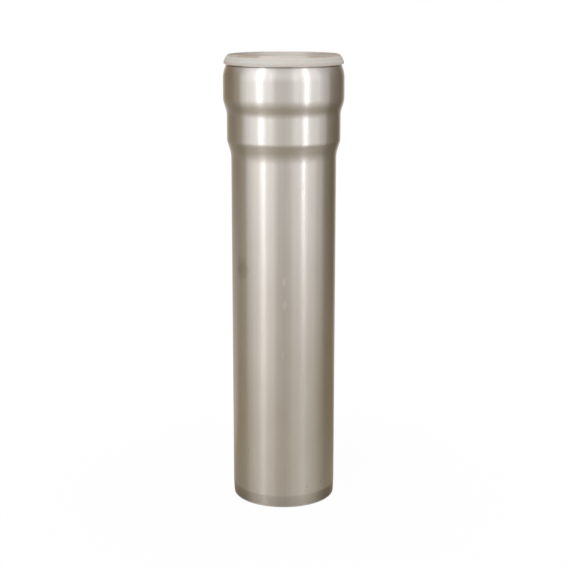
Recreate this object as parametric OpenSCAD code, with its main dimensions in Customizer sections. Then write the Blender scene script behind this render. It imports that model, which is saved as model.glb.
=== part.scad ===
// Push-fit steel drain pipe with one socket, standing on its spigot end.
// The frame's origin is the centre of the spigot end, and +Z runs up the pipe to the socket.

/* [Barrel] */
// Outside diameter of the barrel and its spigot
barrel_d = 73; // [50:1:160]
// Thickness of the sheet steel
wall = 1; // [0.6:0.1:2]
// Laying length, from the spigot end to where the next spigot stops in the socket
laying_length = 250; // [100:10:3000]

/* [Spigot end] */
// Length of the drawn-in end
taper_length = 8.5; // [3:0.5:15]
// How far the end is drawn in, on the radius
taper_depth = 0.4; // [0.1:0.1:0.5]
// Rounding of the cut edge's outer corner
edge_round = 0.3; // [0.1:0.1:0.5]

/* [Socket] */
// Radial gap between a spigot and the centring section
centring_gap = 1.8; // [0.6:0.1:4]
// Length of the straight centring section
centring_length = 16.3; // [5:0.1:60]
// Radial depth of the seal chamber beyond the centring section
chamber_depth = 2.5; // [1.5:0.1:5]
// Length of the straight stretch of the seal chamber
chamber_length = 12; // [8:0.1:40]
// How far the rim is drawn in from the seal chamber, on the radius
rim_depth = 2.2; // [1:0.1:2.7]
// Length of the straight rim that the seal ring's collar wraps
rim_length = 3.9; // [3:0.1:12]

/* [Bends] */
// Slope of the flare into the centring section, in degrees
centring_slope = 17.5; // [8:0.5:45]
// Slope of the flare into the seal chamber, in degrees
chamber_slope = 18.5; // [8:0.5:45]
// Radius of the hollow bend below the centring section
centring_hollow = 24; // [4:1:40]
// Radius of the crown bend below the centring section
centring_crown = 8; // [4:1:30]
// Radius of the hollow bend below the seal chamber
chamber_hollow = 14; // [4:1:30]
// Radius of the crown bend below the seal chamber
chamber_crown = 18; // [4:1:35]
// Radius of the shoulder bend above the seal chamber
shoulder_crown = 22; // [4:1:30]
// Radius of the small bend between the shoulder and the rim
shoulder_hollow = 1; // [1:0.5:6]

/* [Seal ring] */
// Clearance between the seal ring and the curved steel that it fits
seal_gap = 0.1; // [0.05:0.05:0.3]
// Thickness of the collar at its bead, outside the rim
skirt_thickness = 1.6; // [1.3:0.1:4]
// Overlap of the collar's skirt with the outside of the rim
skirt_length = 3.7; // [2.8:0.1:10]
// Height of the bead round the collar's foot
bead_height = 2; // [1.2:0.1:2.5]
// Height of the slope from the bead in to the collar's face
bead_slope = 1.4; // [0.8:0.1:1.6]
// How far the bead stands out from the collar's face
bead_step = 0.9; // [0.3:0.1:1.2]
// Rounding of the seal ring's corners
seal_round = 0.4; // [0.1:0.1:0.4]
// Height of the collar's crown above the rim's end
crown_height = 3; // [1.5:0.1:8]
// Width of the flat on the crown's top
crest_width = 0.8; // [0.8:0.1:1.6]
// Drop from the crown's top to where its slope meets the collar's face
crown_drop = 2; // [1:0.1:2.2]
// How far the collar's face leans in between the bead and the crown
face_lean = 0.35; // [0:0.05:0.8]
// Radial gap between a spigot and the collar's mouth
mouth_gap = 0.5; // [0.2:0.1:1.2]
// Radial squeeze of a spigot in the lip
lip_squeeze = 0; // [0:0.1:0.6]
// Length of the lip's straight sealing face
lip_length = 4; // [2:0.5:6]
// Thickness of the lip at its tip
lip_thickness = 1.2; // [1.1:0.1:1.5]
// Length of the slot between the lip and the heel
slot_length = 5; // [3:0.5:6]
// Width of the slot between the lip and the heel
slot_width = 1.1; // [1:0.1:1.3]
// Thickness of the heel that sits in the seal chamber
heel_thickness = 1.6; // [1.2:0.1:1.8]

/* [Hidden] */

$fn = 96;
BEND_STEPS = 8;

// Radii of the pipe's outer face
barrel_r = barrel_d / 2;
spigot_r = barrel_r - taper_depth;
centring_r = barrel_r + centring_gap + wall;
chamber_r = centring_r + chamber_depth;
rim_r = chamber_r - rim_depth;

// Heights along the pipe. The next spigot stops where the hollow bend's inner face has closed
// in on its end by stop_bite.
stop_bite = wall - taper_depth;
stop_rise = sqrt(stop_bite * (2 * (centring_hollow + wall) - stop_bite));
barrel_top = laying_length - stop_rise;
centring_foot = barrel_top
    + flare_height(centring_r - barrel_r, centring_hollow, centring_crown, centring_slope);
centring_top = centring_foot + centring_length;
chamber_foot = centring_top
    + flare_height(chamber_depth, chamber_hollow, chamber_crown, chamber_slope);
chamber_top = chamber_foot + chamber_length;
shoulder_angle = acos(1 - rim_depth / (shoulder_crown + shoulder_hollow));
rim_foot = chamber_top + (shoulder_crown + shoulder_hollow) * sin(shoulder_angle);
rim_top = rim_foot + rim_length;
crown_top = rim_top + crown_height;
skirt_foot = rim_top - skirt_length;

// Radii and heights of the seal ring
bead_r = rim_r + skirt_thickness;
face_r = bead_r - bead_step;
mouth_r = barrel_r + mouth_gap;
lip_r = barrel_r - lip_squeeze;
lip_foot = chamber_top - lip_length / 2;
heel_r = chamber_r - wall - seal_gap;
heel_foot = chamber_foot + seal_gap;
slot_r = heel_r - heel_thickness;

// Points along a circular arc round the centre c, from the angle a to the angle b
function arc(c, r, a, b) = [
    for (i = [0 : BEND_STEPS])
        let (t = a + (b - a) * i / BEND_STEPS)
        [c[0] + r * cos(t), c[1] + r * sin(t)]
];

// Points along a curve that leaves a towards b and arrives at c from b
function curve(a, b, c) = [
    for (i = [0 : BEND_STEPS])
        let (t = i / BEND_STEPS)
        (1 - t) * (1 - t) * a + 2 * t * (1 - t) * b + t * t * c
];

// The corners of a line of points, each rounded off over the length reach on both sides
function rounded(points, reach) = [
    points[0],
    for (i = [1 : len(points) - 2])
        let (
            corner = points[i],
            back = points[i - 1] - corner,
            ahead = points[i + 1] - corner
        )
        each curve(corner + back * reach / norm(back), corner, corner + ahead * reach / norm(ahead)),
    points[len(points) - 1]
];

// A flare widens the wall by a step with a hollow bend, a straight cone and a crown bend.
// Where the step is too small for both bends at this slope, both shrink by the same share.
function bend_share(step, hollow, crown, slope) =
    min(1, step / ((hollow + crown) * (1 - cos(slope))));

function flare_height(step, hollow, crown, slope) =
    let (sum = (hollow + crown) * bend_share(step, hollow, crown, slope))
    sum * sin(slope) + (step - sum * (1 - cos(slope))) / tan(slope);

// Outline of a flare that starts at the height z, on the face that lies depth inside the
// outer face
function flare(r, z, step, hollow, crown, slope, depth) =
    let (
        share = bend_share(step, hollow, crown, slope),
        lower = [r + hollow * share, z],
        upper = [r + step - crown * share, z + flare_height(step, hollow, crown, slope)]
    )
    concat(
        arc(lower, hollow * share + depth, 180, 180 - slope),
        arc(upper, crown * share - depth, -slope, 0)
    );

// Outline of the shoulder, on the face that lies depth inside the outer face
function shoulder(depth) = concat(
    arc([chamber_r - shoulder_crown, chamber_top], shoulder_crown - depth, 0, shoulder_angle),
    arc([rim_r + shoulder_hollow, rim_foot], shoulder_hollow + depth, 180 + shoulder_angle, 180)
);

// Outline of the pipe's face that lies depth inside the outer face, from the barrel up
function pipe_face(depth) = concat(
    [[barrel_r - depth, taper_length]],
    flare(barrel_r, barrel_top, centring_r - barrel_r,
        centring_hollow, centring_crown, centring_slope, depth),
    flare(centring_r, centring_top, chamber_depth,
        chamber_hollow, chamber_crown, chamber_slope, depth),
    shoulder(depth),
    [[rim_r - depth, rim_top]]
);

// The same points in the opposite order
function reversed(points) = [for (i = [len(points) - 1 : -1 : 0]) points[i]];

// One sheet of even thickness, rolled and welded, with its socket formed in it
module pipe() {
    color([0.72, 0.69, 0.64])
        rotate_extrude()
            polygon(concat(
                [[spigot_r - wall, 0]],
                arc([spigot_r - edge_round, edge_round], edge_round, -90, 0),
                pipe_face(0),
                reversed(pipe_face(wall))
            ));
}

// One moulded rubber ring. It sits on the end of the rim and lines the chamber.
module seal_ring() {
    // The collar wraps the rim: a bead round its foot, a plain face and a sloping crown
    collar = [
        [rim_r + seal_gap, skirt_foot],
        [bead_r, skirt_foot],
        [bead_r, skirt_foot + bead_height],
        [face_r, skirt_foot + bead_height + bead_slope],
        [face_r - face_lean, crown_top - crown_drop],
        [mouth_r + crest_width, crown_top],
        [mouth_r, crown_top]
    ];
    // The lip hangs from the mouth down into the chamber and presses on the spigot
    lip = [
        [lip_r, lip_foot + lip_length],
        [lip_r, lip_foot],
        [lip_r + lip_thickness, lip_foot]
    ];
    // The heel lies along the chamber's wall, with a slot between it and the lip
    heel = [
        [slot_r - slot_width, lip_foot + slot_length],
        [slot_r, lip_foot + slot_length],
        [slot_r, heel_foot],
        [heel_r, heel_foot],
        [heel_r, chamber_top]
    ];
    color([0.80, 0.77, 0.72])
        rotate_extrude()
            polygon(concat(
                rounded(concat(collar, lip, heel), seal_round),
                shoulder(wall + seal_gap),
                [[rim_r - wall - seal_gap, rim_top], [rim_r + seal_gap, rim_top]]
            ));
}

pipe();
seal_ring();
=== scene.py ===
"""Steel drain pipe with its rubber seal ring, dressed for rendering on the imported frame.

Both pieces are surfaces of revolution about the Z axis: an outline in radius and height, worked
out in millimetres from the pipe's own dimensions, is carried round the full circle and written in
metres.
"""
import math

import bpy
import numpy as np
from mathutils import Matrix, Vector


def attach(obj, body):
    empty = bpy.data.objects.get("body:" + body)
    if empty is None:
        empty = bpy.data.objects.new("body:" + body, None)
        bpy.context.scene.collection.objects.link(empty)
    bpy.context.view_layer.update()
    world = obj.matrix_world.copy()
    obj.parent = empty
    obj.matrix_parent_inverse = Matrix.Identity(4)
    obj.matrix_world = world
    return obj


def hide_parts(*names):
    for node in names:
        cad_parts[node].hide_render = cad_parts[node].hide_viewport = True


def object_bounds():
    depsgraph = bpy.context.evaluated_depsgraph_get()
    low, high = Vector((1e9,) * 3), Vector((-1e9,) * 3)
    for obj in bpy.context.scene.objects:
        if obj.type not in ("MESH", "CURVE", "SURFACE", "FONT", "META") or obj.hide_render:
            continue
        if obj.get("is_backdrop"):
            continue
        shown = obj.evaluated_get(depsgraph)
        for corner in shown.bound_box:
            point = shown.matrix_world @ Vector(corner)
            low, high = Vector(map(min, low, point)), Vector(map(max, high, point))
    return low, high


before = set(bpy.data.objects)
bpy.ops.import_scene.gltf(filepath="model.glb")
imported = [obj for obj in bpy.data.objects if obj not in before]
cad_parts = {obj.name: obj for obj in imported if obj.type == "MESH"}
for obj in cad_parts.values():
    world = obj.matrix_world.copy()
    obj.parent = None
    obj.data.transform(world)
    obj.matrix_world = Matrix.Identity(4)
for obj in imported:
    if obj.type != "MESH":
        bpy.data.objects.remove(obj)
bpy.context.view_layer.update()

MM = 0.001
AROUND = 240                           # faces round the circle


# ---- dimensions in millimetres: radii from the axis, heights from the spigot end ----------------

wall = 1.0
barrel_r = 36.5
spigot_r = 36.1                        # the drawn-in end
edge_round = 0.3                       # rounding of the spigot's cut edge
taper_length = 8.5
barrel_top = 244.56
centring_r = 39.3
centring_top = 274.66
chamber_r = 41.8
chamber_top = 299.34
rim_r = 39.6
rim_top = 313.06
centring_bend = (24.0, 8.0, 17.5)      # hollow radius, crown radius, slope in degrees
chamber_bend = (14.0, 18.0, 18.5)
shoulder_crown = 22.0
shoulder_hollow = 1.0
rim_run = 1.0                          # straight run that is kept below the rim's cut edge
cut_ease = 0.2                         # softening of the rim's edges and of the foot's inner one

seal_gap = 0.1
seal_round = 0.4                       # rounding of the seal's corners
bead_r = 41.2
bead_height = 2.0
bead_slope = 1.4
face_r = 40.4
face_lean = 0.35
mouth_r = 37.0
crest_width = 0.8
crown_drop = 2.0
crown_top = 316.06
skirt_foot = 309.36
lip_r = 36.5
lip_foot = 297.34
lip_length = 4.0
lip_thickness = 1.2
slot_r = 39.1
slot_length = 5.0
slot_width = 1.1
heel_r = 40.7
heel_foot = 287.44


# ---- outlines -----------------------------------------------------------------------------------

def arc(centre, radius, start, stop, steps=20):
    """Points on a circle: centre plus radius times the cosine and sine of an angle that runs
    evenly from start to stop, in degrees."""
    angle = np.radians(np.linspace(start, stop, steps + 1))
    return np.column_stack((centre[0] + radius * np.cos(angle),
                            centre[1] + radius * np.sin(angle)))


def flare(radius, foot, step, bend, depth):
    """The widening from one cylinder to the next: an arc of the hollow radius that leans outwards
    to the slope, then an arc of the crown radius that straightens again, with a straight cone
    between them. Both radii shrink by one share where the step is too small for the full slope.
    Depth moves the line into the wall."""
    hollow, crown, slope = bend
    lean = math.radians(slope)
    share = min(1.0, step / ((hollow + crown) * (1 - math.cos(lean))))
    bends = (hollow + crown) * share
    height = bends * math.sin(lean) + (step - bends * (1 - math.cos(lean))) / math.tan(lean)
    lower = arc((radius + hollow * share, foot), hollow * share + depth, 180, 180 - slope)
    upper = arc((radius + step - crown * share, foot + height), crown * share - depth, -slope, 0)
    return np.vstack((lower, upper))


def shoulder(depth):
    """The chamber's top closing in to the rim: a crown arc that leans inwards until a small
    hollow arc meets the rim upright. Both turn through the same angle, whose cosine is one less
    the step over both radii."""
    turn = math.degrees(math.acos(1 - (chamber_r - rim_r) / (shoulder_crown + shoulder_hollow)))
    lean = math.radians(turn)
    rim_foot = chamber_top + (shoulder_crown + shoulder_hollow) * math.sin(lean)
    crown = arc((chamber_r - shoulder_crown, chamber_top), shoulder_crown - depth, 0, turn)
    hollow = arc((rim_r + shoulder_hollow, rim_foot), shoulder_hollow + depth, 180 + turn, 180)
    return np.vstack((crown, hollow))


def pipe_face(depth):
    """The pipe's outer line from the drawn-in end up to the rim, moved into the wall by depth."""
    return np.vstack((
        [(barrel_r - depth, taper_length)],
        flare(barrel_r, barrel_top, centring_r - barrel_r, centring_bend, depth),
        flare(centring_r, centring_top, chamber_r - centring_r, chamber_bend, depth),
        shoulder(depth),
        [(rim_r - depth, rim_top)],
    ))


def eased(points, reach, steps=6):
    """Every corner of the open line but its two ends becomes a quadratic curve: it leaves the leg
    before at reach from the corner and joins the leg after at the same distance, or at 0.45 of a
    shorter leg."""
    before, corner, after = points[:-2], points[1:-1], points[2:]
    back, ahead = before - corner, after - corner
    back_length = np.linalg.norm(back, axis=1, keepdims=True)
    ahead_length = np.linalg.norm(ahead, axis=1, keepdims=True)
    start = corner + back * np.minimum(reach / back_length, 0.45)
    stop = corner + ahead * np.minimum(reach / ahead_length, 0.45)
    t = np.linspace(0, 1, steps + 1)[None, :, None]
    curve = ((1 - t) ** 2 * start[:, None] + 2 * t * (1 - t) * corner[:, None]
             + t ** 2 * stop[:, None])
    return np.vstack((points[:1], curve.reshape(-1, 2), points[-1:]))


def supported(points, near=0.3, far=12.0):
    """Extra points on each long leg of the closed line, near its two ends, and at its middle too
    where it is longer than far, so that the shading of a bend stops where the bend stops."""
    ahead = np.roll(points, -1, axis=0)
    leg = ahead - points
    length = np.linalg.norm(leg, axis=1)
    share = np.where(length > 4 * near, near / np.maximum(length, 1e-9), np.nan)
    middle = np.where(length > far, 0.5, np.nan)
    shares = np.column_stack((np.zeros(len(points)), share, middle, 1 - share))
    laid = points[:, None] + leg[:, None] * shares[:, :, None]
    return laid[~np.isnan(shares)]


def pipe_outline():
    """The closed line of the pipe's wall: up the outside from the rounded spigot edge, over the
    rim, down the inside and round the foot's inner edge."""
    rim_low, rim_inner_r = rim_top - rim_run, rim_r - wall
    rim = np.array([
        (rim_r, rim_low), (rim_r, rim_top), (rim_inner_r, rim_top), (rim_inner_r, rim_low),
    ])
    foot = np.array([
        (barrel_r - wall, taper_length), (spigot_r - wall, 0.0), (spigot_r - edge_round, 0.0),
    ])
    return supported(np.vstack((
        arc((spigot_r - edge_round, edge_round), edge_round, -90, 0, 8),
        pipe_face(0)[:-1],
        eased(rim, cut_ease),
        pipe_face(wall)[::-1][1:-1],
        eased(foot, cut_ease)[:-1],
    )))


def seal_outline():
    """The closed line of the seal: the collar over the rim with its bead, face and crown, the
    bore down to the lip, the slot behind the lip, the heel in the chamber, then back up against
    the pipe's inner wall and over the rim's end."""
    collar = [
        (rim_r + seal_gap, skirt_foot), (bead_r, skirt_foot), (bead_r, skirt_foot + bead_height),
        (face_r, skirt_foot + bead_height + bead_slope),
        (face_r - face_lean, crown_top - crown_drop),
        (mouth_r + crest_width, crown_top), (mouth_r, crown_top),
    ]
    lip = [
        (lip_r, lip_foot + lip_length), (lip_r, lip_foot), (lip_r + lip_thickness, lip_foot),
    ]
    heel = [
        (slot_r - slot_width, lip_foot + slot_length), (slot_r, lip_foot + slot_length),
        (slot_r, heel_foot), (heel_r, heel_foot), (heel_r, chamber_top),
    ]
    seat = [(rim_r - wall - seal_gap, rim_top), (rim_r + seal_gap, rim_top)]
    moulded = eased(np.array(collar + lip + heel), seal_round)
    return supported(np.vstack((moulded, shoulder(wall + seal_gap), seat)))


def turned(name, outline):
    """A closed surface of revolution. Point (i, j) stands at the outline's i-th radius and
    height, at an angle that starts at the back and grows with j by equal parts of the circle:
    x = radius * cos(angle), y = radius * sin(angle), z = height. The outline closes on itself and
    so does the circle. The map's u is the share of the turn and its v the length along the
    outline, in metres."""
    count = len(outline)
    radius, height = outline[:, :1] * MM, outline[:, 1:] * MM
    angle = np.linspace(0, 2 * math.pi, AROUND, endpoint=False)[None, :] + math.pi / 2
    places = np.broadcast_arrays(radius * np.cos(angle), radius * np.sin(angle), height)

    def index(a, b):
        """The number of point (a, b), where both run on round their closed line."""
        return (a % count) * AROUND + b % AROUND

    i = np.arange(count)[:, None]
    j = np.arange(AROUND)[None, :]
    corners = (index(i, j), index(i, j + 1), index(i + 1, j + 1), index(i + 1, j))
    faces = np.stack(corners, axis=-1).reshape(-1, 4)

    mesh = bpy.data.meshes.new(name)
    mesh.vertices.add(count * AROUND)
    mesh.vertices.foreach_set("co", np.stack(places, axis=-1).reshape(-1).astype(np.float32))
    mesh.loops.add(faces.size)
    mesh.loops.foreach_set("vertex_index", faces.reshape(-1).astype(np.int32))
    mesh.polygons.add(len(faces))
    mesh.polygons.foreach_set("loop_start", np.arange(0, faces.size, 4, dtype=np.int32))
    mesh.update(calc_edges=True)

    steps = np.linalg.norm(np.roll(outline, -1, axis=0) - outline, axis=1) * MM
    along = np.concatenate(([0.0], np.cumsum(steps)))
    u = np.stack((j, j + 1, j + 1, j), axis=-1) / AROUND
    v = np.stack((along[i], along[i], along[i + 1], along[i + 1]), axis=-1)
    wrap = np.stack(np.broadcast_arrays(u, v), axis=-1)
    layer = mesh.uv_layers.new(name="wrap")
    layer.data.foreach_set("uv", wrap.reshape(-1).astype(np.float32))
    mesh.shade_smooth()
    mesh.validate()

    piece = bpy.data.objects.new(name, mesh)
    bpy.context.scene.collection.objects.link(piece)
    return piece


# ---- shader building ----------------------------------------------------------------------------

def add(tree, kind, inputs=None, **settings):
    """A node of that kind, its settings made first, then each of those inputs given a value or
    joined to an output."""
    made = tree.nodes.new(kind)
    for key, value in settings.items():
        setattr(made, key, value)
    for key, value in (inputs or {}).items():
        if isinstance(value, bpy.types.NodeSocket):
            tree.links.new(value, made.inputs[key])
        else:
            made.inputs[key].default_value = value
    return made


def calc(tree, operation, *values):
    """One Math node on these values or outputs."""
    return add(tree, "ShaderNodeMath", dict(enumerate(values)), operation=operation).outputs[0]


def ranged(tree, value, low, high, to_low=0.0, to_high=1.0, smooth=False):
    """A value carried from one range to another and held at its ends."""
    span = {"Value": value, "From Min": low, "From Max": high, "To Min": to_low, "To Max": to_high}
    made = add(tree, "ShaderNodeMapRange", span, clamp=True,
               interpolation_type="SMOOTHSTEP" if smooth else "LINEAR")
    return made.outputs["Result"]


def scaled(tree, vector, factors):
    """A vector with its x, y and z each multiplied by their own factor."""
    sockets = {0: vector, 1: factors}
    return add(tree, "ShaderNodeVectorMath", sockets, operation="MULTIPLY").outputs[0]


def length(tree, vector):
    """How long a vector is."""
    return add(tree, "ShaderNodeVectorMath", {0: vector}, operation="LENGTH").outputs["Value"]


def parts(tree, vector):
    """A vector's outputs named X, Y and Z."""
    return add(tree, "ShaderNodeSeparateXYZ", {0: vector}).outputs


def front_turn(tree, place):
    """The turn of a place about the axis, in radians from the front to the right."""
    return calc(tree, "ARCTAN2", place["X"], calc(tree, "MULTIPLY", place["Y"], -1.0))


def blended(tree, share, first, second):
    """One colour mixed into another by share."""
    sockets = {0: share, 6: first, 7: second}
    return add(tree, "ShaderNodeMix", sockets, data_type="RGBA", blend_type="MIX").outputs[2]


def tinted(tree, colour, mask, share, tone):
    """That colour with a tone over it where the mask is, at most by share."""
    return blended(tree, calc(tree, "MULTIPLY", mask, share), colour, (*tone, 1))


def new_group(name, ins, outs):
    """An empty shader group with those inputs (name, kind, value) and outputs (name, kind)."""
    group = bpy.data.node_groups.new(name, "ShaderNodeTree")
    for title, kind, value in ins:
        socket = group.interface.new_socket(title, in_out="INPUT", socket_type=kind)
        if value is not None:
            socket.default_value = value
    for title, kind in outs:
        group.interface.new_socket(title, in_out="OUTPUT", socket_type=kind)
    given = group.nodes.new("NodeGroupInput").outputs
    return group, given, group.nodes.new("NodeGroupOutput").inputs


def placed(tree, group, inputs):
    """That group as a node, with its inputs given."""
    return add(tree, "ShaderNodeGroup", inputs, node_tree=group).outputs[0]


def new_material(name):
    """An empty material: itself, its tree, the piece's own position in metres and the socket for
    its shader."""
    material = bpy.data.materials.new(name)
    material.use_nodes = True
    tree = material.node_tree
    tree.nodes.clear()
    position = tree.nodes.new("ShaderNodeTexCoord").outputs["Object"]
    surface = tree.nodes.new("ShaderNodeOutputMaterial").inputs["Surface"]
    return material, tree, position, surface


# ---- patterns that the materials share ----------------------------------------------------------

FLOAT, VECTOR = "NodeSocketFloat", "NodeSocketVector"


def cloudy_group():
    """Uneven tone: a noise stretched along one axis, opened out between two levels. Mask runs
    from 0 to 1."""
    group, given, out = new_group(
        "cloudy",
        [("Position", VECTOR, None), ("Scale", FLOAT, 40.0), ("Stretch", VECTOR, (1, 1, 1)),
         ("Detail", FLOAT, 4.0), ("Low", FLOAT, 0.35), ("High", FLOAT, 0.65)],
        [("Mask", FLOAT)],
    )
    noise = add(group, "ShaderNodeTexNoise", {
        "Vector": scaled(group, given["Position"], given["Stretch"]), "Scale": given["Scale"],
        "Detail": given["Detail"], "Roughness": 0.55,
    })
    group.links.new(ranged(group, noise.outputs[0], given["Low"], given["High"]), out["Mask"])
    return group


def rubbed_spot_group():
    """A rubbed spot on the barrel: 1 at a centre given by its turn from the front and its height,
    falling to 0 over a half width and a half height in metres, with an uneven edge."""
    group, given, out = new_group(
        "rubbed_spot",
        [("Position", VECTOR, None), ("Turn", FLOAT, 0.0), ("Height", FLOAT, 0.1),
         ("Half Width", FLOAT, 0.003), ("Half Height", FLOAT, 0.006),
         ("Radius", FLOAT, barrel_r * MM)],
        [("Mask", FLOAT)],
    )
    place = parts(group, given["Position"])
    off = calc(group, "SUBTRACT", front_turn(group, place), given["Turn"])
    across = calc(group, "DIVIDE", calc(group, "MULTIPLY", off, given["Radius"]),
                  given["Half Width"])
    up = calc(group, "DIVIDE", calc(group, "SUBTRACT", place["Z"], given["Height"]),
              given["Half Height"])
    distance = calc(group, "SQRT", calc(group, "ADD", calc(group, "MULTIPLY", across, across),
                                        calc(group, "MULTIPLY", up, up)))
    noise = add(group, "ShaderNodeTexNoise",
                {"Vector": given["Position"], "Scale": 420.0, "Detail": 3.0})
    uneven = calc(group, "MULTIPLY", calc(group, "SUBTRACT", noise.outputs[0], 0.5), 0.8)
    ragged = calc(group, "ADD", distance, uneven)
    group.links.new(ranged(group, ragged, 0.25, 1.0, 1.0, 0.0, smooth=True), out["Mask"])
    return group


def grain_group():
    """Fine parallel lines left by polishing round the pipe or by the mould: a noise drawn out
    round the circle, as a height from 0 to 1."""
    group, given, out = new_group(
        "fine_grain",
        [("Position", VECTOR, None), ("Stretch", VECTOR, (0.02, 0.02, 1.0)),
         ("Scale", FLOAT, 1800.0)],
        [("Height", FLOAT)],
    )
    noise = add(group, "ShaderNodeTexNoise", {
        "Vector": scaled(group, given["Position"], given["Stretch"]), "Scale": given["Scale"],
        "Detail": 2.0,
    })
    group.links.new(noise.outputs[0], out["Height"])
    return group


cloudy, rubbed_spot, fine_grain = cloudy_group(), rubbed_spot_group(), grain_group()


def spots(tree, position, places):
    """The largest mask of several rubbed spots, each given as its turn, height, half width and
    half height."""
    share = None
    for turn, height, half_width, half_height in places:
        spot = placed(tree, rubbed_spot, {"Position": position, "Turn": turn, "Height": height,
                                          "Half Width": half_width, "Half Height": half_height})
        share = spot if share is None else calc(tree, "MAXIMUM", share, spot)
    return share


# ---- steel --------------------------------------------------------------------------------------

STEEL_DARK = (0.463, 0.433, 0.400)
STEEL_LIGHT = (0.497, 0.468, 0.435)
STREAK_TONE = (0.35, 0.325, 0.30)
RUBBED_TONE = (0.20, 0.18, 0.15)
FOOT_SHADE_TONE = (0.17, 0.145, 0.115)
FOOT_SPOT_SHADE_TONE = (0.20, 0.17, 0.13)
WORN_TONE = (0.60, 0.57, 0.54)

SEAM_TURN = -0.02                      # the weld seam, in radians from the front
DRAWN_IN = (taper_length * MM - 0.0006, taper_length * MM + 0.0005)
BAND_SIDE = (0.0175, 0.0325)           # where the painted shade on the drawn-in end grows stronger, in metres sideways

# Marks on the steel: turn from the front in radians, then height, half width and half height in
# metres. The first is a wide smudge, the rest are small scuffs.
RUBBED = (
    (-0.91, 0.1705, 0.0095, 0.0110), (1.04, 0.059, 0.0014, 0.0040),
    (0.47, 0.0145, 0.0009, 0.0024), (0.82, 0.0155, 0.0008, 0.0030),
    (-0.75, 0.040, 0.0011, 0.0026), (-0.81, 0.138, 0.0009, 0.0034),
    (1.15, 0.148, 0.0010, 0.0030),
)
WORN_DASHES = (
    (0.01, 0.164, 0.0018, 0.0042), (0.015, 0.148, 0.0021, 0.0048),
    (-0.02, 0.1125, 0.0009, 0.0042),
)
FOOT_SHADE_SPOTS = ((1.02, 0.004, 0.0190, 0.0085), (-1.15, 0.003, 0.0130, 0.0070))


def satin_steel():
    """Satin stainless steel: warm grey, polished round the pipe, with faint lengthwise rolling
    streaks, a dressed weld seam along the front with a few pale worn dashes and some rubbed spots.
    The drawn-in end has painted shade, stronger at both sides and at two spots near the foot."""
    material, tree, position, surface = new_material("satin_steel")
    tangent = add(tree, "ShaderNodeTangent", direction_type="UV_MAP", uv_map="wrap")
    shader = add(tree, "ShaderNodeBsdfPrincipled", {
        "Metallic": 1.0, "Anisotropic": 0.77, "Anisotropic Rotation": 0.25,
        "Tangent": tangent.outputs[0],
    })
    tree.links.new(shader.outputs[0], surface)

    streaks = placed(tree, cloudy, {"Position": position, "Scale": 520.0,
                                    "Stretch": (1, 1, 0.008), "Detail": 2.0,
                                    "Low": 0.3, "High": 0.7})
    patches = placed(tree, cloudy, {"Position": position, "Scale": 28.0, "Stretch": (1, 1, 0.6),
                                    "Detail": 3.0, "Low": 0.3, "High": 0.7})
    seam_wear = placed(tree, cloudy, {"Position": position, "Scale": 30.0,
                                      "Stretch": (0.2, 0.2, 1), "Detail": 2.0,
                                      "Low": 0.45, "High": 0.65})
    place = parts(tree, position)
    off_seam = calc(tree, "ABSOLUTE",
                    calc(tree, "SUBTRACT", front_turn(tree, place), SEAM_TURN))
    seam = calc(tree, "MULTIPLY", ranged(tree, off_seam, 0.002, 0.009, 1.0, 0.0, smooth=True),
                calc(tree, "ADD", calc(tree, "MULTIPLY", seam_wear, 0.8), 0.2))
    rubbed = spots(tree, position, RUBBED)
    drawn_in = ranged(tree, place["Z"], *DRAWN_IN, 1.0, 0.0, smooth=True)
    near_side, far_side = BAND_SIDE
    sides = calc(tree, "MAXIMUM",
                 ranged(tree, place["X"], near_side, far_side, 0.15, 0.50, smooth=True),
                 ranged(tree, place["X"], -far_side, -near_side, 0.33, 0.15, smooth=True))

    colour = blended(tree, patches, (*STEEL_DARK, 1), (*STEEL_LIGHT, 1))
    colour = tinted(tree, colour, streaks, 0.20, STREAK_TONE)
    colour = tinted(tree, colour, seam, 0.04, RUBBED_TONE)
    colour = tinted(tree, colour, rubbed, 0.30, RUBBED_TONE)
    # painted shade: the drawn-in end is darkened, most at both sides, for the shaded floor near
    # the foot that it mirrors
    colour = tinted(tree, colour, drawn_in, sides, FOOT_SHADE_TONE)
    # painted shade: two darker spots low on the flanks of the drawn-in end
    colour = tinted(tree, colour, spots(tree, position, FOOT_SHADE_SPOTS), 0.12, FOOT_SPOT_SHADE_TONE)
    colour = tinted(tree, colour, spots(tree, position, WORN_DASHES), 0.40, WORN_TONE)
    tree.links.new(colour, shader.inputs["Base Color"])

    roughness = calc(tree, "ADD", ranged(tree, patches, 0, 1, 0.305, 0.33),
                     calc(tree, "MULTIPLY", streaks, 0.03))
    worked = calc(tree, "MULTIPLY", calc(tree, "MAXIMUM", rubbed, seam), 0.08)
    tree.links.new(calc(tree, "ADD", roughness, worked), shader.inputs["Roughness"])

    grain = placed(tree, fine_grain, {"Position": position, "Scale": 1800.0})
    height = calc(tree, "ADD", calc(tree, "MULTIPLY", grain, 0.35),
                  calc(tree, "MULTIPLY", streaks, 0.4))
    height = calc(tree, "SUBTRACT", height, calc(tree, "MULTIPLY", seam, 0.5))
    bump = add(tree, "ShaderNodeBump", {"Strength": 0.25, "Distance": 0.00002, "Height": height})
    tree.links.new(bump.outputs[0], shader.inputs["Normal"])
    return material


# ---- rubber -------------------------------------------------------------------------------------

RUBBER_DARK = (0.665, 0.607, 0.53)
RUBBER_LIGHT = (0.715, 0.662, 0.587)
SPECK_TONE = (0.46, 0.42, 0.36)
# tone of the painted shade on the crown
CROWN_SHADE_TONE = (0.44, 0.36, 0.27)
# tones of the painted light and the painted shade in the mouth
MOUTH_LIGHT_TONE = (0.80, 0.745, 0.665)
MOUTH_SHADE = (0.44, 0.38, 0.30)

# Places on the seal, in metres: from the axis, sideways from the middle, or up
CREST_REACH = (0.0370, 0.0378)
CREST_HEIGHT = (0.3143, 0.3152)
SHADED_CROWN_SIDE = (0.012, 0.019)
MOUTH_REACH = (mouth_r * MM + 0.0001, mouth_r * MM + 0.0004)
LIT_MOUTH_SIDE = (0.010, 0.020)
SHADED_SIDE = (0.015, 0.026)


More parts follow.
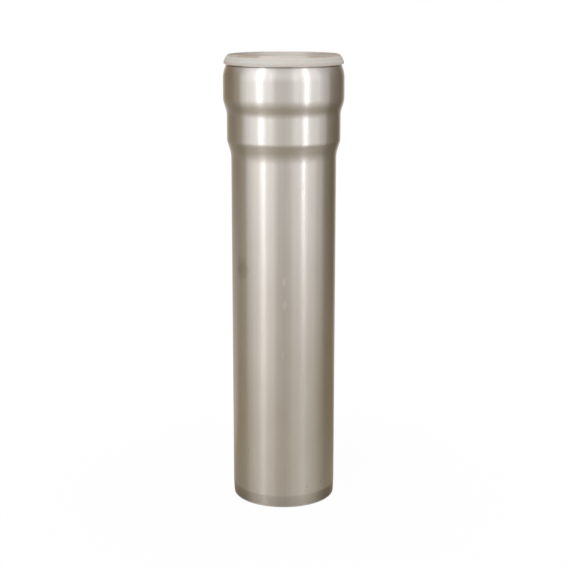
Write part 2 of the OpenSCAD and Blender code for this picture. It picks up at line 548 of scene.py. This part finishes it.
def seal_rubber():
    """Pale matt rubber, a little uneven in tone, with a soft moulded grain and a touch of dust in
    it. The crown has uneven painted shade at both sides, and the mouth has painted light in the
    middle and painted shade on the right."""
    material, tree, position, surface = new_material("seal_rubber")
    shader = add(tree, "ShaderNodeBsdfPrincipled", {
        "IOR": 1.5, "Subsurface Weight": 0.3, "Subsurface Scale": 0.004,
    })
    tree.links.new(shader.outputs[0], surface)

    patches = placed(tree, cloudy, {"Position": position, "Scale": 60.0, "Detail": 4.0,
                                    "Low": 0.3, "High": 0.7})
    specks = placed(tree, cloudy, {"Position": position, "Scale": 900.0, "Detail": 3.0,
                                   "Low": 0.52, "High": 0.72})
    crown_patches = placed(tree, cloudy, {"Position": position, "Scale": 90.0, "Detail": 3.0,
                                    "Low": 0.05, "High": 0.55})
    place = parts(tree, position)
    sideways = calc(tree, "ABSOLUTE", place["X"])
    reach = length(tree, scaled(tree, position, (1, 1, 0)))
    crest = calc(tree, "MULTIPLY", ranged(tree, reach, *CREST_REACH, smooth=True),
                 ranged(tree, place["Z"], *CREST_HEIGHT, smooth=True))
    # painted shade on the crown, patchy and growing towards both sides
    crown_shade = calc(tree, "MULTIPLY", crown_patches,
                  ranged(tree, sideways, *SHADED_CROWN_SIDE, 0.1, 1.0, smooth=True))
    inside = ranged(tree, reach, *MOUTH_REACH, 1.0, 0.0, smooth=True)

    colour = blended(tree, patches, (*RUBBER_DARK, 1), (*RUBBER_LIGHT, 1))
    colour = tinted(tree, colour, specks, 0.18, SPECK_TONE)
    # painted shade: the crown's crest darkened, unevenly, towards both sides
    colour = tinted(tree, colour, calc(tree, "MULTIPLY", crest, crown_shade), 0.9, CROWN_SHADE_TONE)
    # painted light in the middle of the mouth, then painted shade on its right
    colour = tinted(tree, colour, inside,
                    ranged(tree, sideways, *LIT_MOUTH_SIDE, 1.0, 0.0, smooth=True), MOUTH_LIGHT_TONE)
    colour = tinted(tree, colour, inside,
                    ranged(tree, place["X"], *SHADED_SIDE, 0.0, 0.35, smooth=True), MOUTH_SHADE)
    tree.links.new(colour, shader.inputs["Base Color"])
    tree.links.new(ranged(tree, patches, 0, 1, 0.62, 0.72), shader.inputs["Roughness"])

    grain = placed(tree, fine_grain, {"Position": position, "Scale": 1400.0,
                                      "Stretch": (0.3, 0.3, 1.0)})
    height = calc(tree, "ADD", grain, calc(tree, "MULTIPLY", specks, 0.5))
    bump = add(tree, "ShaderNodeBump", {"Strength": 0.3, "Distance": 0.00004, "Height": height})
    tree.links.new(bump.outputs[0], shader.inputs["Normal"])
    return material


# ---- the two pieces -----------------------------------------------------------------------------

pipe = turned("drain_pipe", pipe_outline())
pipe.data.materials.append(satin_steel())
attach(pipe, "root")
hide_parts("pipe")

seal = turned("rubber_seal", seal_outline())
seal.data.materials.append(seal_rubber())
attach(seal, "root")
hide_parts("seal_ring")


# ---- finishes of the studio ---------------------------------------------------------------------

WHITE = (1, 1, 1, 1)
STEEP_FRONT, STEEP_REAR = 0.60, 0.15   # share of its tone that the floor keeps seen from above


def seen_directly(tree):
    """1 for camera, glossy and transmission rays, 0 for the rays that carry light."""
    path = tree.nodes.new("ShaderNodeLightPath").outputs
    return calc(tree, "MAXIMUM", path["Is Camera Ray"],
                calc(tree, "MAXIMUM", path["Is Glossy Ray"], path["Is Transmission Ray"]))


def slant(tree):
    """0 where a surface is seen square on, rising to 1 where it is seen along itself."""
    return add(tree, "ShaderNodeLayerWeight", {"Blend": 0.5}).outputs["Facing"]


def pale_floor():
    """White floor: plain white where it is seen, with the pipe's own soft shadow kept near its
    foot."""
    material, tree, position, surface = new_material("pale_floor")
    matt = add(tree, "ShaderNodeBsdfDiffuse", {"Color": (0.86, 0.86, 0.85, 1)})
    white = add(tree, "ShaderNodeEmission", {"Color": WHITE, "Strength": 1.0})
    beyond = ranged(tree, length(tree, position), 0.04, 0.30, 0.97, 1.0, smooth=True)
    share = calc(tree, "MULTIPLY", seen_directly(tree), beyond)
    both = add(tree, "ShaderNodeMixShader", {0: share, 1: matt.outputs[0], 2: white.outputs[0]})
    tree.links.new(both.outputs[0], surface)
    return material


def card_finish(name, near, far, axis, start, stop, slanting=1.0):
    """A card's dim tone, which runs from near to far as the place along one axis goes from start
    to stop. It keeps only the share slanting of its tone where it is seen from well off its
    face."""
    material, tree, position, surface = new_material(name)
    along = ranged(tree, parts(tree, position)[axis], start, stop, smooth=True)
    tone = blended(tree, along, (*near, 1), (*far, 1))
    strength = ranged(tree, slant(tree), 0.03, 0.11, 1.0, slanting)
    glow = add(tree, "ShaderNodeEmission", {"Color": tone, "Strength": strength})
    tree.links.new(glow.outputs[0], surface)
    return material


def floor_finish(name, close_left, close_right, left, right, far):
    """The floor's tone in the polish: close to the foot, then further out, on the left and on the
    right, and at last far towards the card's edge. It is darker right at the foot and where it is
    seen from above, most of all behind the pipe, and it mirrors the lamps a little."""
    material, tree, position, surface = new_material(name)
    away = length(tree, position)
    place = parts(tree, position)
    further = blended(tree, ranged(tree, place["X"], -0.15, 0.15, smooth=True),
                      (*left, 1), (*right, 1))
    close = blended(tree, ranged(tree, place["X"], 0.0, 0.12, smooth=True),
                    (*close_left, 1), (*close_right, 1))
    near = blended(tree, ranged(tree, away, 0.09, 0.21, smooth=True), close, further)
    tone = blended(tree, ranged(tree, away, 0.3, 1.0), near, (*far, 1))
    shadow = ranged(tree, away, 0.037, 0.056, 0.65, 1.0, smooth=True)
    loss = ranged(tree, place["Y"], 0.0, 0.25, 1 - STEEP_FRONT, 1 - STEEP_REAR)
    from_above = calc(tree, "MULTIPLY", loss, ranged(tree, slant(tree), 0.25, 0.78, 1.0, 0.0))
    share = calc(tree, "MULTIPLY", shadow, calc(tree, "SUBTRACT", 1.0, from_above))
    glow = add(tree, "ShaderNodeEmission", {"Color": tone, "Strength": share})
    sheen = add(tree, "ShaderNodeBsdfGlossy", {"Color": (1.0, 0.96, 0.86, 1), "Roughness": 0.4})
    glance = calc(tree, "MULTIPLY",
                  add(tree, "ShaderNodeFresnel", {"IOR": 1.5}).outputs[0], 0.22)
    shown = add(tree, "ShaderNodeMixShader", {0: glance, 1: glow.outputs[0], 2: sheen.outputs[0]})
    tree.links.new(shown.outputs[0], surface)
    return material


# ---- cards and lamps ----------------------------------------------------------------------------

CARD_LIFT = 0.0003                     # a lying card's height over the floor, in metres
STANDING_POINTS, LYING_POINTS = 25, 73


def card(name, first, second, third, material):
    """A card of the studio, not part of the pipe: a sheet through three arrays of the same length
    that give each point's x, y and z in two rows, joined row to row."""
    rows = np.stack(np.broadcast_arrays(first, second, third), axis=-1)
    count = rows.shape[1]
    i = np.arange(count - 1)
    mesh = bpy.data.meshes.new(name)
    faces = np.column_stack((i, i + 1, i + 1 + count, i + count))
    mesh.from_pydata(rows.reshape(-1, 3), [], faces)
    mesh.materials.append(material)
    made = bpy.data.objects.new(name, mesh)
    bpy.context.scene.collection.objects.link(made)
    made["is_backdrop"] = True
    return made


def around(turn, distance, height):
    """A place in the studio: turn in degrees from the camera's side, to the right; metres from
    the axis."""
    angle = math.radians(turn)
    return (distance * math.sin(angle), -distance * math.cos(angle), height)


def only_in_polish(made):
    """Keeps a card out of sight and out of the light, so that only polished metal shows it."""
    made.visible_camera = made.visible_diffuse = False
    made.visible_shadow = made.visible_transmission = False


def standing_card(name, start, stop, distance, top, material):
    """A curved card on edge, from the floor to its top: a part of a circle about the pipe, where
    x = distance * sin(turn) and y = -distance * cos(turn), with turns in degrees."""
    turn = np.radians(np.linspace(start, stop, STANDING_POINTS))[None, :]
    height = np.array([[0.0], [top]])
    x, y = distance * np.sin(turn), -distance * np.cos(turn)
    only_in_polish(card(name, x, y, height, material))


def lying_card(name, start, stop, inside, outside, material):
    """A flat part of a ring on the floor about the pipe's foot, between two radii and two turns:
    x = radius * sin(turn) and y = -radius * cos(turn)."""
    turn = np.radians(np.linspace(start, stop, LYING_POINTS))[None, :]
    reach = np.array([[inside], [outside]])
    x, y = reach * np.sin(turn), -reach * np.cos(turn)
    only_in_polish(card(name, x, y, CARD_LIFT, material))


def softbox(name, turn, distance, width, low, high, level, colour, polish=True):
    """A soft lamp that faces the pipe's axis, between two heights. Level is its brightness beside
    a white of 1, so its power is level times pi times its area. It shows either in the polish of
    the steel or, as plain light, on matt surfaces."""
    lamp = bpy.data.lights.new(name, "AREA")
    lamp.shape = "RECTANGLE"
    lamp.size, lamp.size_y = width, high - low
    lamp.energy = level * math.pi * width * (high - low)
    lamp.color = colour
    lit = bpy.data.objects.new(name, lamp)
    lit.location = around(turn, distance, (low + high) / 2)
    lit.rotation_euler = (math.radians(90), 0, math.radians(turn))
    lit.visible_glossy, lit.visible_diffuse = polish, not polish
    bpy.context.scene.collection.objects.link(lit)


# ---- the studio ---------------------------------------------------------------------------------

low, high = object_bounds()
tall = high.z - low.z

FLOOR_HALF = 6.0
card("floor", np.array([[-FLOOR_HALF, FLOOR_HALF]] * 2),
     np.array([[-FLOOR_HALF], [FLOOR_HALF]]), low.z, pale_floor())

# Each lamp's turn in degrees, distance, width, lower and upper edge in metres, level and colour.
# The windows show as the two highlights on the steel, and the panels as the light areas beside
# them.
cool, plain = (0.95, 0.995, 1.09), (0.97, 0.995, 1.06)
softbox("left_window", -45.3, 1.15, 0.16, 0.08, 1.6, 3.4, cool)
softbox("left_panel", -44.5, 1.35, 1.33, 0.0, 1.5, 1.05, plain)
softbox("left_panel_edge", -77.5, 1.35, 0.32, 0.0, 1.5, 0.55, plain)
softbox("right_window", 43.1, 0.5, 0.035, 0.107, 0.85, 4.7, cool)
softbox("right_panel", 46, 1.35, 1.50, 0.0, 1.5, 0.80, plain)
softbox("front_high", 0, 1.35, 1.4, 0.45, 1.1, 0.66, plain)
softbox("key_light", -14, 1.0, 0.9, 0.9, 1.8, 6.6, plain, polish=False)
softbox("fill_light", 42, 1.35, 1.2, 0.0, 1.2, 0.40, plain, polish=False)
softbox("rear_light", 165, 1.35, 1.6, 0.3, 1.5, 1.0, plain, polish=False)

# Tones of the cards, which give the steel its darker areas and edges
left_tone = card_finish("left_card", (0.60, 0.565, 0.48), (0.37, 0.285, 0.195),
                        "Z", 0.0, 0.32, 0.2)
left_front_tone = card_finish("left_front_card", (0.60, 0.565, 0.48), (0.60, 0.50, 0.38),
                              "Z", 0.0, 0.32, 0.2)
right_tone = card_finish("right_card", (0.45, 0.40, 0.33), (0.255, 0.215, 0.155),
                         "Y", 0.03, 0.42, 0.2)
rear_tone = card_finish("rear_card", (0.72, 0.66, 0.57), (1.0, 0.97, 0.92), "Y", 0.55, 0.60)
rear_floor_tone = floor_finish(
    "rear_floor_card", close_left=(0.62, 0.54, 0.42), close_right=(0.49, 0.42, 0.32),
    left=(0.90, 0.80, 0.66), right=(0.8, 0.71, 0.59), far=(0.84, 0.79, 0.72))
floor_tone = floor_finish(
    "floor_card", close_left=(0.565, 0.494, 0.37), close_right=(0.445, 0.39, 0.285),
    left=(0.555, 0.466, 0.31), right=(0.425, 0.354, 0.225), far=(0.715, 0.637, 0.507))

# The standing cards' distance and top, and the lying cards' inner and outer edge, in metres
WALL_DISTANCE, WALL_TOP = 0.6, 0.55
FLOOR_INSIDE, FLOOR_OUTSIDE = 0.0366, 0.85
standing_card("left_side", -148, -106, WALL_DISTANCE, WALL_TOP, left_tone)
standing_card("left_front", -106, -88, WALL_DISTANCE, WALL_TOP, left_front_tone)
standing_card("right_side", 93, 148, WALL_DISTANCE, WALL_TOP, right_tone)
standing_card("rear", 148, 212, WALL_DISTANCE, WALL_TOP, rear_tone)
lying_card("floor_front", -124, 148, FLOOR_INSIDE, FLOOR_OUTSIDE, floor_tone)
lying_card("floor_rear", 148, 236, FLOOR_INSIDE, FLOOR_OUTSIDE, rear_floor_tone)

world = bpy.data.worlds.new("studio")
bpy.context.scene.world = world
world.use_nodes = True
sky = world.node_tree
sky.nodes.clear()
ambient = add(sky, "ShaderNodeBackground", {"Color": WHITE, "Strength": 0.35})
backdrop = add(sky, "ShaderNodeBackground", {"Color": WHITE, "Strength": 1.0})
chosen = add(sky, "ShaderNodeMixShader",
             {0: seen_directly(sky), 1: ambient.outputs[0], 2: backdrop.outputs[0]})
sky_end = sky.nodes.new("ShaderNodeOutputWorld")
sky.links.new(chosen.outputs[0], sky_end.inputs["Surface"])

# The camera stands straight in front and looks down. Its distance and height are in shares of the
# pipe's height.
AWAY, ABOVE, ASIDE, LOOK_DOWN = 2.8187, 1.1255, 0.00015, 12.70
camera_data = bpy.data.cameras.new("camera")
camera_data.lens = 81.5
camera_data.clip_start, camera_data.clip_end = 0.05, 50
camera = bpy.data.objects.new("camera", camera_data)
camera.location = ((low.x + high.x) / 2 - ASIDE, (low.y + high.y) / 2 - AWAY * tall,
                   low.z + ABOVE * tall)
camera.rotation_euler = (math.radians(90 - LOOK_DOWN), 0, 0)
bpy.context.scene.collection.objects.link(camera)
bpy.context.scene.camera = camera

bpy.context.scene.view_settings.view_transform = "Standard"

low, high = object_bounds()
